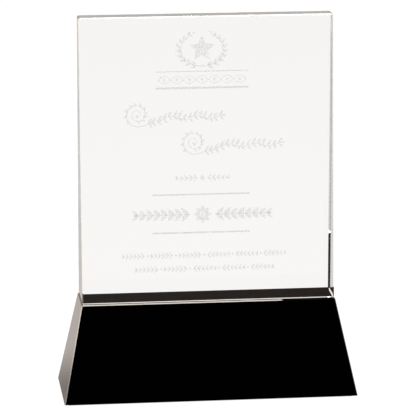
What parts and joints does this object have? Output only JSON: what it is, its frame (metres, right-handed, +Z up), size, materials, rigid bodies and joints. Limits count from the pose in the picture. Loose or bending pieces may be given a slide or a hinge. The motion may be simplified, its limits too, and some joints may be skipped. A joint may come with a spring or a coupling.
{
  "type": "crystal award",
  "caption": "Clear tapered crystal block bonded upright on a black crystal pedestal with sloping sides and low rubber feet.",
  "frame": {"origin": "centre of the footprint, on the surface that the feet rest on", "axes": "+X to the viewer's right, -Y towards the viewer of the engraved front, +Z up"},
  "size_m": [0.1476, 0.0526, 0.1919],
  "materials": {
    "clear_crystal": "polished optical crystal, water clear",
    "black_crystal": "polished black crystal, opaque and glossy",
    "cured_adhesive": "clear cured adhesive",
    "foot_rubber": "matt black rubber",
    "etched_frost": "fine white frosted etching"
  },
  "bodies": {
    "root": {"crystal_block": "clear_crystal", "base_block": "black_crystal", "bond_layer": "cured_adhesive", "foot_front_left": "foot_rubber", "foot_front_right": "foot_rubber", "foot_back_left": "foot_rubber", "foot_back_right": "foot_rubber"}
  },
  "joints": []
}
